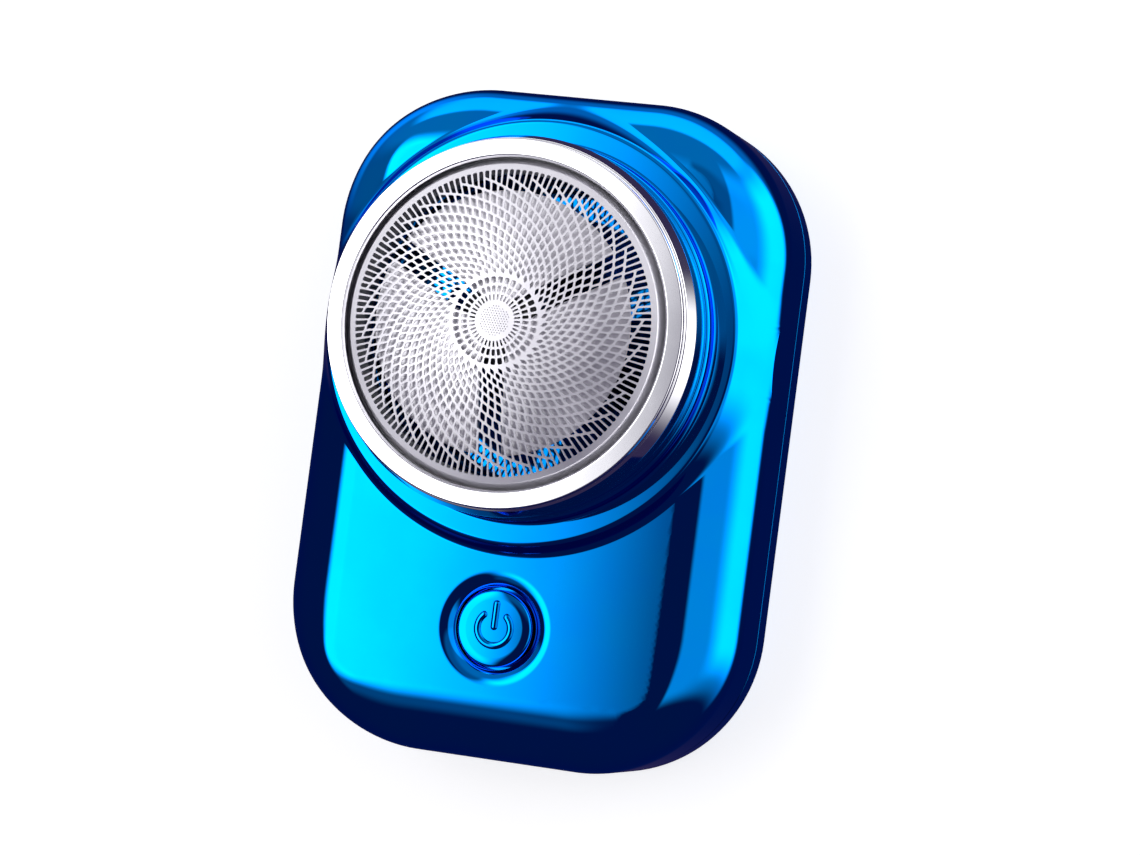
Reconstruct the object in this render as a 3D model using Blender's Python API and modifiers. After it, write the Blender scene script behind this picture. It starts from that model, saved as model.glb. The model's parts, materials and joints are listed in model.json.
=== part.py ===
"""Pocket rotary shaver: a plated two-shell body, a lift-off foil head and a motor-driven cutter.

Frame: the shaver lies on its flat back. +Z points out of the face along the head's axis, +Y points
to the head end, +X is to the right when looking at the face. The origin is the middle of the
footprint, on the back's plane. Sizes below are millimetres; MM turns them into metres.
"""
import math

import bmesh
import bpy
from mathutils import Matrix, Vector

MM = 0.001

# ---------------------------------------------------------------- driving dimensions (mm)
GAP = 0.3                   # kept between neighbouring solids
BODY_W, BODY_L = 47.6, 68.0
CORNER_R = 15.4             # plan corners of the body
FACE_Z = 17.5               # front face
FRONT_EDGE, BACK_EDGE = 7.0, 1.3
SPLIT_Z = 4.4               # parting line of the two shells
WALL = 1.6
FLOOR_Z = 1.5               # inside of the rear shell

HEAD_Y = 9.1                # head, motor and cutter axis
COLLAR_R, COLLAR_Z = 21.5, 18.9
COLLAR_TOP_R, COLLAR_TOP_Z = 19.0, 21.1
POCKET_R, POCKET_Z = 17.6, 18.0

RING_BASE_R, RING_BASE_Z = 18.8, COLLAR_TOP_Z + GAP
RING_TOP_Z = 28.05          # crown of the bezel's face
LIP_R, LIP_Z = 16.3, 27.05  # inner edge of the bezel
RING_BORE_R = 17.15
FLANGE_R = RING_BORE_R - GAP  # outer edge of what sits in the ring's bore
SPIGOT_R, SPIGOT_Z = POCKET_R - GAP, 19.2

FOIL_R, FOIL_RIM_Z, FOIL_TOP_Z = 15.4, 28.1, 30.6
FOIL_T = 0.35
CUTTER_R, CUTTER_T = 13.0, 0.6
CUTTER_SLOT_W, CUTTER_SLOT_R = 2.4, 2.0     # width, and where the slots start
CUTTER_TURN = 32.0          # degrees, first slot of the three-petal cutter
HUB_R = 4.2                 # carrier hub
KEY_W, KEY_L = 2.5, 4.2     # flat key on the spindle
SPINDLE_R, SPINDLE_TOP_Z = 1.5, 25.2
SPRING_SEAT_Z = 19.9        # top of the spindle's flange

BUTTON_Y, BUTTON_R, BUTTON_Z = -20.6, 3.9, 17.9
BUTTON_HOLE_R, BOWL_R = 4.2, 5.4
BUTTON_FLANGE_R, BUTTON_FLANGE_Z = 5.0, 15.5
SWITCH_W, SWITCH_TOP_Z = 5.2, 13.2
PLUNGER_R = 1.2

SHAFT_R = 1.0
MOTOR_R, MOTOR_TOP_Z, MOTOR_BASE_Z = 12.2, 14.6, 2.6
CAN_T = 0.8
CRADLE_R, CRADLE_T, CRADLE_TOP_Z = 13.7, 1.2, 15.5
EAR_X, EAR_R = 15.6, 2.0

SCREW_INSET = 6.0           # rear screws, from the outline
BOSS_R, SCREW_R, SCREW_HEAD_R = 2.4, 1.0, 1.9
PILOT_R = SCREW_R + GAP
EAR_SCREW_R, EAR_SCREW_TIP_Z = 0.9, 17.1
BOARD_SCREW_R = 0.8
BOARD_POST_X, BOARD_POST_Y, BOARD_POST_R = 9.5, -12.0, 1.9

BOARD_Z, BOARD_T = 10.4, 1.0
BATTERY_W, BATTERY_H = 24.0, 4.4
BATTERY_Y = (-26.2, -6.0)
SOCKET_W, SOCKET_H, SOCKET_D, SOCKET_Z = 8.9, 3.2, 7.3, 8.5
LED_X, LIGHT_PIPE_R = 7.0, 0.8
LEAD_R = 0.4

# sphere of the foil's outer face, from its rim and its top
FOIL_RISE = FOIL_TOP_Z - FOIL_RIM_Z
FOIL_BALL = (FOIL_R ** 2 + FOIL_RISE ** 2) / (2 * FOIL_RISE)
BALL_Z = FOIL_TOP_Z - FOIL_BALL
CUTTER_BALL = FOIL_BALL - FOIL_T - GAP

HEAD = (0.0, HEAD_Y, 0.0)
BUTTON = (0.0, BUTTON_Y, 0.0)
BODY_END = -BODY_L / 2
ROUND = 40                  # facets of large round pieces
MID_ROUND = 28
SMALL_ROUND = 16
TINY_ROUND = 12

# ---------------------------------------------------------------- scene and materials
for old in list(bpy.data.objects):
    bpy.data.objects.remove(old, do_unlink=True)

PARTS = bpy.data.collections.new("pocket_shaver")
CUTTERS = bpy.data.collections.new("cutters")
bpy.context.scene.collection.children.link(PARTS)
bpy.context.scene.collection.children.link(CUTTERS)

FINISHES = {                # base colour, roughness, metallic
    "plated_blue": ((0.00, 0.22, 0.95), 0.08, 1.0),
    "chrome": ((0.86, 0.87, 0.89), 0.06, 1.0),
    "foil_steel": ((0.76, 0.75, 0.80), 0.18, 1.0),
    "cutter_steel": ((0.82, 0.83, 0.85), 0.22, 1.0),
    "black_plastic": ((0.025, 0.026, 0.030), 0.45, 0.0),
    "grey_plastic": ((0.33, 0.34, 0.36), 0.50, 0.0),
    "white_plastic": ((0.80, 0.80, 0.78), 0.45, 0.0),
    "clear_plastic": ((0.85, 0.90, 0.95), 0.10, 0.0),
    "rubber": ((0.04, 0.04, 0.045), 0.75, 0.0),
    "foam": ((0.16, 0.16, 0.17), 0.90, 0.0),
    "zinc_steel": ((0.62, 0.62, 0.60), 0.32, 1.0),
    "spring_steel": ((0.70, 0.70, 0.72), 0.25, 1.0),
    "magnet": ((0.10, 0.10, 0.11), 0.60, 0.0),
    "copper": ((0.75, 0.36, 0.16), 0.35, 1.0),
    "circuit_green": ((0.02, 0.20, 0.08), 0.40, 0.0),
    "battery_wrap": ((0.72, 0.74, 0.76), 0.35, 0.4),
    "red_wire": ((0.55, 0.02, 0.02), 0.45, 0.0),
    "black_wire": ((0.02, 0.02, 0.02), 0.45, 0.0),
}


def finish_material(name):
    material = bpy.data.materials.get(name)
    if material is None:
        colour, roughness, metallic = FINISHES[name]
        material = bpy.data.materials.new(name)
        material.use_nodes = True
        shader = material.node_tree.nodes["Principled BSDF"]
        shader.inputs["Base Color"].default_value = (*colour, 1.0)
        shader.inputs["Roughness"].default_value = roughness
        shader.inputs["Metallic"].default_value = metallic
        material.diffuse_color = (*colour, 1.0)
    return material


# ---------------------------------------------------------------- modelling helpers
def new_object(name, mesh, finish=None, at=(0, 0, 0)):
    """Links a mesh as a part, or as a cutter when it has no finish."""
    obj = bpy.data.objects.new(name, mesh)
    obj.location = Vector(at) * MM
    if finish:
        PARTS.objects.link(obj)
        mesh.materials.append(finish_material(finish))
    else:
        CUTTERS.objects.link(obj)
        obj.hide_render = True
        obj.display_type = "WIRE"
    return obj


def bmesh_object(name, bm, finish=None, at=(0, 0, 0), smooth=True):
    mesh = bpy.data.meshes.new(name)
    bmesh.ops.recalc_face_normals(bm, faces=bm.faces)
    bm.to_mesh(mesh)
    bm.free()
    if smooth:
        mesh.shade_smooth()
        mesh.set_sharp_from_angle(angle=math.radians(35))
    return new_object(name, mesh, finish, at)


def turned(name, profile, finish=None, at=(0, 0, 0), steps=ROUND):
    """A turned solid. profile is (radius, height), down the outer side; closed if it is off the axis."""
    mesh = bpy.data.meshes.new(name)
    count = len(profile)
    edges = [(i, i + 1) for i in range(count - 1)]
    on_axis = profile[0][0] == 0 and profile[-1][0] == 0
    if not on_axis:
        edges.append((count - 1, 0))
    mesh.from_pydata([(r * MM, 0, z * MM) for r, z in profile], edges, [])
    obj = new_object(name, mesh, finish, at)
    screw = obj.modifiers.new("turn", "SCREW")
    screw.axis = "Z"
    screw.steps = screw.render_steps = steps
    screw.use_merge_vertices = True
    screw.merge_threshold = 0.00001
    screw.use_smooth_shade = True
    return obj


def arc(centre_r, centre_z, radius, start, end, steps):
    """Points on an arc of a profile, from start to end degrees."""
    points = []
    for i in range(steps + 1):
        angle = math.radians(start + (end - start) * i / steps)
        points.append((centre_r + radius * math.cos(angle), centre_z + radius * math.sin(angle)))
    return points


def dome(ball, outer_r, steps):
    """A profile down a sphere about the foil's centre, from the axis out to outer_r."""
    reach = math.asin(outer_r / ball)
    points = [(0.0, BALL_Z + ball)]
    for i in range(1, steps + 1):
        angle = reach * i / steps
        points.append((ball * math.sin(angle), BALL_Z + ball * math.cos(angle)))
    return points


def add_box(bm, low, high, turn=0.0):
    """Adds a box between two corners to bm, turned about Z through the origin of bm."""
    centre = [(a + b) / 2 * MM for a, b in zip(low, high)]
    size = [(b - a) * MM for a, b in zip(low, high)]
    matrix = Matrix.Rotation(math.radians(turn), 4, "Z") @ Matrix.Translation(centre)
    return bmesh.ops.create_cube(bm, size=1, matrix=matrix @ Matrix.Diagonal((*size, 1)))["verts"]


def add_cylinder(bm, x, y, low, high, radius, steps=SMALL_ROUND):
    place = Matrix.Translation((x * MM, y * MM, (low + high) / 2 * MM))
    return bmesh.ops.create_cone(bm, cap_ends=True, segments=steps, radius1=radius * MM,
                                 radius2=radius * MM, depth=(high - low) * MM, matrix=place)["verts"]


def add_bevel(bm, edges, width, segments):
    bmesh.ops.bevel(bm, geom=edges, offset=width * MM, offset_type="OFFSET", segments=segments,
                    profile=0.5, affect="EDGES", clamp_overlap=False)


def slab_bmesh(width, length, corner, low, high, top_edge=0.0, bottom_edge=0.0, corner_steps=8):
    """A slab with round plan corners and optional round top and bottom edges."""
    bm = bmesh.new()
    add_box(bm, (-width / 2, -length / 2, low), (width / 2, length / 2, high))
    upright = [e for e in bm.edges if abs(e.verts[0].co.z - e.verts[1].co.z) > 1e-6]
    add_bevel(bm, upright, corner, corner_steps)
    for level, edge in ((high, top_edge), (low, bottom_edge)):
        if edge:
            rim = [e for e in bm.edges
                   if all(abs(v.co.z - level * MM) < 1e-7 for v in e.verts)]
            add_bevel(bm, rim, edge, 6 if edge > 3 else 2)
    return bm


def slab(name, width, length, corner, low, high, finish=None, at=(0, 0, 0), **edges):
    return bmesh_object(name, slab_bmesh(width, length, corner, low, high, **edges), finish, at)


def body_slab(name, inset, low, high, finish=None, **edges):
    """A slab that follows the body's outline at a distance inside it."""
    return slab(name, BODY_W - 2 * inset, BODY_L - 2 * inset, CORNER_R - inset, low, high,
                finish, **edges)


def box_object(name, low, high, finish=None, bevel=0.0, at=(0, 0, 0)):
    bm = bmesh.new()
    add_box(bm, low, high)
    if bevel:
        add_bevel(bm, bm.edges[:], bevel, 2)
    return bmesh_object(name, bm, finish, at, smooth=False)


def cylinders(name, places, low, high, radius, steps=SMALL_ROUND):
    """A cutter of equal upright cylinders."""
    bm = bmesh.new()
    for x, y in places:
        add_cylinder(bm, x, y, low, high, radius, steps)
    return bmesh_object(name, bm)


def boolean(obj, tool, operation="DIFFERENCE"):
    modifier = obj.modifiers.new(operation.lower() + "_" + tool.name, "BOOLEAN")
    modifier.operation = operation
    modifier.solver = "EXACT"
    modifier.object = tool
    return obj


def stadium(name, width, height, y_low, y_high, z, finish=None, steps=6):
    """A bar along Y whose ends are round in the XZ plane."""
    bm = bmesh.new()
    add_box(bm, (-width / 2, y_low, z - height / 2), (width / 2, y_high, z + height / 2))
    along = [e for e in bm.edges if abs(e.verts[0].co.y - e.verts[1].co.y) > 1e-6]
    add_bevel(bm, along, height * 0.49, steps)
    return bmesh_object(name, bm, finish)


def rod_along_y(name, half_length, radius, at, finish=None):
    bm = bmesh.new()
    verts = add_cylinder(bm, 0, 0, -half_length, half_length, radius)
    bmesh.ops.rotate(bm, verts=verts, matrix=Matrix.Rotation(math.radians(90), 3, "X"))
    return bmesh_object(name, bm, finish, at)


def wire(name, route, radius, finish, at=(0, 0, 0), every=3):
    """A round wire through hand-set points, smoothed with a Catmull-Rom curve."""
    points = [Vector(p) for p in route]
    points = [2 * points[0] - points[1]] + points + [2 * points[-1] - points[-2]]
    path = []
    for a, b, c, d in zip(points, points[1:], points[2:], points[3:]):
        for i in range(every):
            t = i / every
            path.append(0.5 * (2 * b + (c - a) * t + (2 * a - 5 * b + 4 * c - d) * t ** 2
                               + (3 * b - a - 3 * c + d) * t ** 3))
    path.append(points[-2])
    return poly_tube(name, path, radius, finish, at)


def poly_tube(name, path, radius, finish, at=(0, 0, 0)):
    curve = bpy.data.curves.new(name, "CURVE")
    curve.dimensions = "3D"
    curve.bevel_depth = radius * MM
    curve.bevel_resolution = 2
    curve.use_fill_caps = True
    spline = curve.splines.new("POLY")
    spline.points.add(len(path) - 1)
    for point, place in zip(spline.points, path):
        point.co = (*(Vector(place) * MM), 1.0)
    return new_object(name, curve, finish, at)


def screw_fastener(name, x, y, head_z, tip_z, shank_r, head_r, finish="zinc_steel"):
    """A pan-head screw with its head below, its tip above and a cross recess."""
    head_h = 0.6 * head_r
    profile = [(0, tip_z), (0.35 * shank_r, tip_z), (shank_r, tip_z - shank_r),
               (shank_r, head_z + head_h), (head_r, head_z + head_h),
               (head_r, head_z + 0.3 * head_h), (0.7 * head_r, head_z), (0, head_z)]
    part = turned(name, profile, finish, (x, y, 0), steps=TINY_ROUND)
    arm, half = 0.55 * head_r, 0.14 * head_r
    for turn, depth in ((0, 0.5), (90, 0.45)):
        bm = bmesh.new()
        add_box(bm, (-arm, -half, head_z - 1), (arm, half, head_z + depth * head_h), turn)
        boolean(part, bmesh_object(f"{name}_slot_{turn}", bm, at=(x, y, 0), smooth=False))
    return part


# places of the four rear screws, on a line through each plan corner's centre
REACH = (CORNER_R - SCREW_INSET) * math.sqrt(0.5)
SCREW_X = BODY_W / 2 - CORNER_R + REACH
SCREW_Y = BODY_L / 2 - CORNER_R + REACH
SCREW_PLACES = [(sx * SCREW_X, sy * SCREW_Y) for sy in (1, -1) for sx in (-1, 1)]
EAR_PLACES = [(-EAR_X, HEAD_Y), (EAR_X, HEAD_Y)]
POST_PLACES = [(-BOARD_POST_X, BOARD_POST_Y), (BOARD_POST_X, BOARD_POST_Y)]


# ---------------------------------------------------------------- shells
def collar_profile():
    """The collar: the ring's seat, a flat ledge round it, and a hollow fillet down to the face."""
    skirt_r, skirt_z, fillet, edge = 23.0, 13.5, 1.4, 0.3
    ledge_z = COLLAR_Z + 0.2
    seat = [(0, COLLAR_TOP_Z), (COLLAR_TOP_R - edge, COLLAR_TOP_Z),
            (COLLAR_TOP_R, COLLAR_TOP_Z - edge), (COLLAR_TOP_R, ledge_z + edge)]
    ledge = [(COLLAR_TOP_R + edge, ledge_z), (COLLAR_R - edge, ledge_z), (COLLAR_R, COLLAR_Z)]
    hollow = arc(COLLAR_R + fillet, FACE_Z + fillet, fillet, 180, 262, 4)
    return seat + ledge + hollow[1:] + [(skirt_r, skirt_z), (0, skirt_z)]


def make_front_shell():
    shell = body_slab("front_shell", 0, SPLIT_Z + GAP / 2, FACE_Z, "plated_blue",
                      top_edge=FRONT_EDGE)
    boolean(shell, turned("collar_solid", collar_profile(), at=HEAD), "UNION")
    boolean(shell, body_slab("front_hollow", WALL, SPLIT_Z - 2, FACE_Z - WALL,
                             top_edge=FRONT_EDGE - WALL))
    boss_top, board_top = FACE_Z - 1, BOARD_Z + BOARD_T
    boolean(shell, cylinders("front_bosses", SCREW_PLACES, SPLIT_Z + GAP, boss_top, BOSS_R), "UNION")
    boolean(shell, cylinders("board_posts", POST_PLACES, board_top + GAP, boss_top, BOARD_POST_R),
            "UNION")
    above, below, spindle_hole_r = 25, 12, 3.0
    pocket = [(0, above), (POCKET_R, above), (POCKET_R, POCKET_Z), (spindle_hole_r, POCKET_Z),
              (spindle_hole_r, below), (0, below)]
    boolean(shell, turned("pocket", pocket, at=HEAD))
    bowl = [(0, FACE_Z + 1.5), (BOWL_R + 1.6, FACE_Z + 1.5), (BOWL_R - 0.4, FACE_Z - 0.35),
            (BUTTON_HOLE_R, FACE_Z - 0.7), (BUTTON_HOLE_R, below), (0, below)]
    boolean(shell, turned("button_bowl", bowl, at=BUTTON, steps=24))
    boolean(shell, cylinders("pilot_holes", SCREW_PLACES, SPLIT_Z - 3, 12.0, PILOT_R, TINY_ROUND))
    boolean(shell, cylinders("ear_pilots", EAR_PLACES, 10, EAR_SCREW_TIP_Z + GAP,
                             EAR_SCREW_R + GAP, TINY_ROUND))
    boolean(shell, cylinders("post_pilots", POST_PLACES, 8, 15.0, BOARD_SCREW_R + GAP, TINY_ROUND))
    boolean(shell, stadium("socket_mouth", SOCKET_W + 2 * GAP, SOCKET_H + 2 * GAP,
                           BODY_END - 2, BODY_END + 4, SOCKET_Z))
    boolean(shell, rod_along_y("pipe_hole", 4.0, LIGHT_PIPE_R + GAP, (LED_X, BODY_END, SOCKET_Z)))
    return shell


def make_rear_shell():
    shell = body_slab("rear_shell", 0, 0, SPLIT_Z - GAP / 2, "plated_blue", bottom_edge=BACK_EDGE)
    tongue_inset, tongue_t = WALL + GAP, 0.9
    boolean(shell, body_slab("tongue", tongue_inset, 2.0, 5.4), "UNION")
    boolean(shell, body_slab("rear_hollow", tongue_inset + tongue_t, FLOOR_Z, 9))
    boolean(shell, cylinders("rear_pillars", SCREW_PLACES, 0.9, SPLIT_Z, BOSS_R + 0.2), "UNION")
    boolean(shell, cylinders("screw_holes", SCREW_PLACES, -1, 6, PILOT_R))
    boolean(shell, cylinders("head_recesses", SCREW_PLACES, -1, 1.75, SCREW_HEAD_R + GAP))
    return shell


def make_gasket():
    gasket = body_slab("shell_gasket", WALL + GAP, 5.7, 6.5, "rubber", corner_steps=7)
    boolean(gasket, body_slab("gasket_hollow", 3.0, 5, 8, corner_steps=7))
    return gasket


def make_seals():
    low = POCKET_Z + GAP
    turned("head_seal",
           [(16.6, low + 0.6), (17.2, low + 0.6), (17.3, low + 0.5), (17.3, low), (16.5, low),
            (16.5, low + 0.5)],
           "rubber", HEAD, steps=MID_ROUND)
    turned("spindle_seal", [(2.7, low + 0.4), (4.8, low + 0.3), (5.0, low), (2.6, low)],
           "rubber", HEAD, steps=SMALL_ROUND)


# ---------------------------------------------------------------- motor
def make_motor():
    can_base = MOTOR_BASE_Z + 2.2
    inner = MOTOR_R - CAN_T
    boss_r, boss_top = 3.0, MOTOR_TOP_Z + 0.7
    turned("motor_can",
           [(SHAFT_R + GAP, boss_top), (boss_r, boss_top), (boss_r, MOTOR_TOP_Z),
            (MOTOR_R - 0.8, MOTOR_TOP_Z), (MOTOR_R, MOTOR_TOP_Z - 0.8), (MOTOR_R, can_base),
            (inner, can_base), (inner, MOTOR_TOP_Z - CAN_T), (SHAFT_R + GAP, MOTOR_TOP_Z - CAN_T)],
           "zinc_steel", HEAD, steps=MID_ROUND)
    magnet_r = inner - GAP
    turned("motor_magnet",
           [(magnet_r, 13.2), (magnet_r, 5.4), (magnet_r - 1.3, 5.4), (magnet_r - 1.3, 13.2)],
           "magnet", HEAD, steps=MID_ROUND)
    turned("motor_end_cap",
           [(SHAFT_R + GAP, 5.4), (2.6, 5.4), (2.6, 4.5), (MOTOR_R - 0.1, 4.5), (MOTOR_R - 0.1, 3.1),
            (MOTOR_R - 0.6, MOTOR_BASE_Z), (SHAFT_R + GAP, MOTOR_BASE_Z)],
           "white_plastic", HEAD, steps=MID_ROUND)
    turned("motor_shaft", [(0, 19.5), (0.7, 19.5), (SHAFT_R, 19.2), (SHAFT_R, 3.0), (0, 3.0)],
           "spring_steel", HEAD, steps=SMALL_ROUND)

    pole_r, low, high = 9.2, 6.2, 12.4
    bm = bmesh.new()
    add_cylinder(bm, 0, 0, low, high, pole_r, 36)
    armature = bmesh_object("motor_armature", bm, "copper", HEAD)
    bm = bmesh.new()
    for i in range(3):
        add_box(bm, (3.6, -0.5, low - 1), (pole_r + 1, 0.5, high + 1), turn=120 * i)
    boolean(armature, bmesh_object("winding_slots", bm, at=HEAD, smooth=False))
    boolean(armature, turned("shaft_hole", [(0, 15), (SHAFT_R + GAP, 15), (SHAFT_R + GAP, 4), (0, 4)],
                             at=HEAD, steps=SMALL_ROUND))
    slab("motor_pad", 15.0, 15.0, 7.0, FLOOR_Z + GAP, MOTOR_BASE_Z - GAP, "foam", HEAD,
         corner_steps=5)


def make_cradle():
    """The bracket that holds the motor under the face: a cup open below, with two screwed ears."""
    inner, shaft_hole_r, screw_head_r = CRADLE_R - CRADLE_T, 3.4, 1.7
    low, roof, ear_low = 4.8, CRADLE_TOP_Z - 0.6, CRADLE_TOP_Z - 1.6
    cup = turned("motor_cradle",
                 [(shaft_hole_r, CRADLE_TOP_Z), (CRADLE_R, CRADLE_TOP_Z), (CRADLE_R, low),
                  (inner, low), (inner, roof), (shaft_hole_r, roof)],
                 "black_plastic", HEAD, steps=MID_ROUND)
    boolean(cup, cylinders("ears", EAR_PLACES, ear_low, CRADLE_TOP_Z - 0.01, EAR_R), "UNION")
    boolean(cup, cylinders("ear_holes", EAR_PLACES, 10, 18, EAR_SCREW_R + GAP, TINY_ROUND))
    head_z = ear_low - GAP - 0.6 * screw_head_r
    for i, (x, y) in enumerate(EAR_PLACES, 1):
        screw_fastener(f"cradle_screw_{i}", x, y, head_z, EAR_SCREW_TIP_Z, EAR_SCREW_R, screw_head_r)


# ---------------------------------------------------------------- drive and cutter
def make_drive():
    base_r, base_z, flange_r = 2.3, CRADLE_TOP_Z + 0.2, 3.6
    spindle = turned("drive_spindle",
                     [(0, SPINDLE_TOP_Z), (SPINDLE_R - 0.6, SPINDLE_TOP_Z),
                      (SPINDLE_R, SPINDLE_TOP_Z - 0.4), (SPINDLE_R, SPRING_SEAT_Z),
                      (flange_r, SPRING_SEAT_Z), (flange_r, SPRING_SEAT_Z - 0.6),
                      (base_r, SPRING_SEAT_Z - 0.9), (base_r, base_z), (0, base_z)],
                     "white_plastic", HEAD, steps=SMALL_ROUND)
    socket = [(0, 19.8), (SHAFT_R + GAP, 19.8), (SHAFT_R + GAP, 15), (0, 15)]
    boolean(spindle, turned("shaft_socket", socket, at=HEAD, steps=SMALL_ROUND))
    key = bmesh.new()
    add_box(key, (-KEY_W / 2, -KEY_L / 2, SPRING_SEAT_Z - GAP),
            (KEY_W / 2, KEY_L / 2, SPINDLE_TOP_Z - 0.6))
    boolean(spindle, bmesh_object("drive_key", key, at=HEAD, smooth=False), "UNION")

    turns, per_turn, coil_r, wire_r = 4, 9, 3.0, 0.22
    low, high = SPRING_SEAT_Z + GAP + wire_r, 22.5 - wire_r
    path = []
    for i in range(turns * per_turn + 1):
        angle = 2 * math.pi * i / per_turn
        path.append((coil_r * math.cos(angle), coil_r * math.sin(angle),
                     low + (high - low) * i / (turns * per_turn)))
    poly_tube("cutter_spring", path, wire_r, "spring_steel", HEAD)


def make_cutter():
    outer = dome(CUTTER_BALL, CUTTER_R, 6)
    inner = dome(CUTTER_BALL - CUTTER_T, CUTTER_R - 0.15, 6)
    cutter = turned("inner_cutter", outer + inner[::-1], "cutter_steel", HEAD, steps=30)
    bm = bmesh.new()
    for i in range(3):
        add_box(bm, (CUTTER_SLOT_R, -CUTTER_SLOT_W / 2, 20), (20, CUTTER_SLOT_W / 2, 34),
                turn=CUTTER_TURN + 120 * i)
    boolean(cutter, bmesh_object("petal_slots", bm, at=HEAD, smooth=False))

    seat_ball = CUTTER_BALL - CUTTER_T - GAP
    arm_low, arm_reach, arm_half_w, hub_low, hub_top = 24.8, 11.4, 2.0, 22.8, 28.5
    hub = [(0, hub_top), (HUB_R - 0.6, hub_top), (HUB_R, hub_top - 0.4), (HUB_R, hub_low), (0, hub_low)]
    carrier = turned("cutter_carrier", hub, "black_plastic", HEAD, steps=24)
    arms = bmesh.new()
    for i in range(3):
        add_box(arms, (HUB_R - 1, -arm_half_w, arm_low), (arm_reach, arm_half_w, 30),
                turn=CUTTER_TURN + 60 + 120 * i)
    arm_object = bmesh_object("carrier_arms", arms, at=HEAD, smooth=False)
    roof = turned("carrier_roof", dome(seat_ball, 14.0, 8) + [(14.0, 20), (0, 20)], at=HEAD, steps=24)
    boolean(arm_object, roof, "INTERSECT")
    boolean(carrier, arm_object, "UNION")
    hole_top, hole_r = SPINDLE_TOP_Z + 0.9, SPINDLE_R + GAP
    hole = bmesh.new()
    add_box(hole, (-KEY_W / 2 - GAP, -KEY_L / 2 - GAP, 20),
            (KEY_W / 2 + GAP, KEY_L / 2 + GAP, hole_top + 0.1))
    boolean(carrier, bmesh_object("key_hole", hole, at=HEAD, smooth=False))
    post_hole = [(0, hole_top), (hole_r, hole_top), (hole_r, 20), (0, 20)]
    boolean(carrier, turned("post_hole", post_hole, at=HEAD, steps=20))


# ---------------------------------------------------------------- head
def make_head():
    lip_low, spigot_bore_r, skirt_z = 26.7, 16.2, 25.0
    face = [(LIP_R, LIP_Z), (LIP_R, 27.6), (16.65, RING_TOP_Z - 0.1), (17.3, RING_TOP_Z),
            (17.95, RING_TOP_Z - 0.15), (18.15, 27.65)]
    groove = [(18.1, 27.3), (18.25, 27.15)]
    shoulder = [(18.55, 26.4), (18.75, 25.6), (RING_BASE_R, skirt_z)]
    base = [(RING_BASE_R, 21.9), (RING_BASE_R - 0.15, RING_BASE_Z)]
    inner = [(SPIGOT_R, RING_BASE_Z), (SPIGOT_R, SPIGOT_Z), (spigot_bore_r, SPIGOT_Z),
             (spigot_bore_r, 22.0), (RING_BORE_R, 22.3), (RING_BORE_R, lip_low), (LIP_R, lip_low)]
    turned("head_ring", face + groove + shoulder + base + inner, "chrome", HEAD)
    turned("foil_retainer", [(FLANGE_R, 24.2), (FLANGE_R, 22.6), (15.4, 22.6), (15.4, 24.2)],
           "grey_plastic", HEAD, steps=MID_ROUND)
    shape = dome(FOIL_BALL, FOIL_R, 7)
    shape += [(15.65, 27.95), (15.9, 27.4), (16.0, 26.6), (16.1, 26.4), (FLANGE_R, 26.4),
              (FLANGE_R, 26.05), (15.75, 26.05), (15.6, 26.5), (15.5, 27.3)]
    shape += dome(FOIL_BALL - FOIL_T, FOIL_R - 0.2, 7)[::-1]
    turned("foil", shape, "foil_steel", HEAD)
    turned("foil_rim", [(FLANGE_R, 25.75), (FLANGE_R, 25.1), (15.0, 25.1), (15.0, 25.75)],
           "grey_plastic", HEAD, steps=MID_ROUND)


# ---------------------------------------------------------------- button and switch
def make_button():
    post_r, post_low, flange_low, edge = 1.0, 14.2, BUTTON_FLANGE_Z - 0.6, 0.45
    cap = arc(BUTTON_R - edge, BUTTON_Z - edge, edge, 90, 0, 3)
    turned("power_button",
           [(0, BUTTON_Z - 0.1), (BUTTON_R - 2 * edge, BUTTON_Z - 0.1)] + cap
           + [(BUTTON_R, BUTTON_FLANGE_Z), (BUTTON_FLANGE_R, BUTTON_FLANGE_Z),
              (BUTTON_FLANGE_R, flange_low), (post_r, flange_low), (post_r, post_low), (0, post_low)],
           "plated_blue", BUTTON, steps=24)
    plunger_top, plunger_low = post_low - GAP, 12.6
    turned("switch_plunger",
           [(0, plunger_top), (PLUNGER_R - 0.2, plunger_top), (PLUNGER_R, plunger_top - 0.2),
            (PLUNGER_R, plunger_low), (0, plunger_low)],
           "white_plastic", BUTTON, steps=SMALL_ROUND)
    half, well_r = SWITCH_W / 2, PLUNGER_R + GAP
    switch = box_object("switch_body", (-half, -half, BOARD_Z + BOARD_T + GAP),
                        (half, half, SWITCH_TOP_Z), "black_plastic", bevel=0.25, at=BUTTON)
    boolean(switch, turned("plunger_well", [(0, 14), (well_r, 14), (well_r, 12.0), (0, 12.0)],
                           at=BUTTON, steps=SMALL_ROUND))
    turned("button_seal",
           [(5.4, 15.55), (6.6, 15.55), (6.6, 14.6), (5.8, 13.8), (1.5, 13.8), (1.5, 14.25),
            (5.4, 14.25)],
           "rubber", BUTTON, steps=20)


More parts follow.
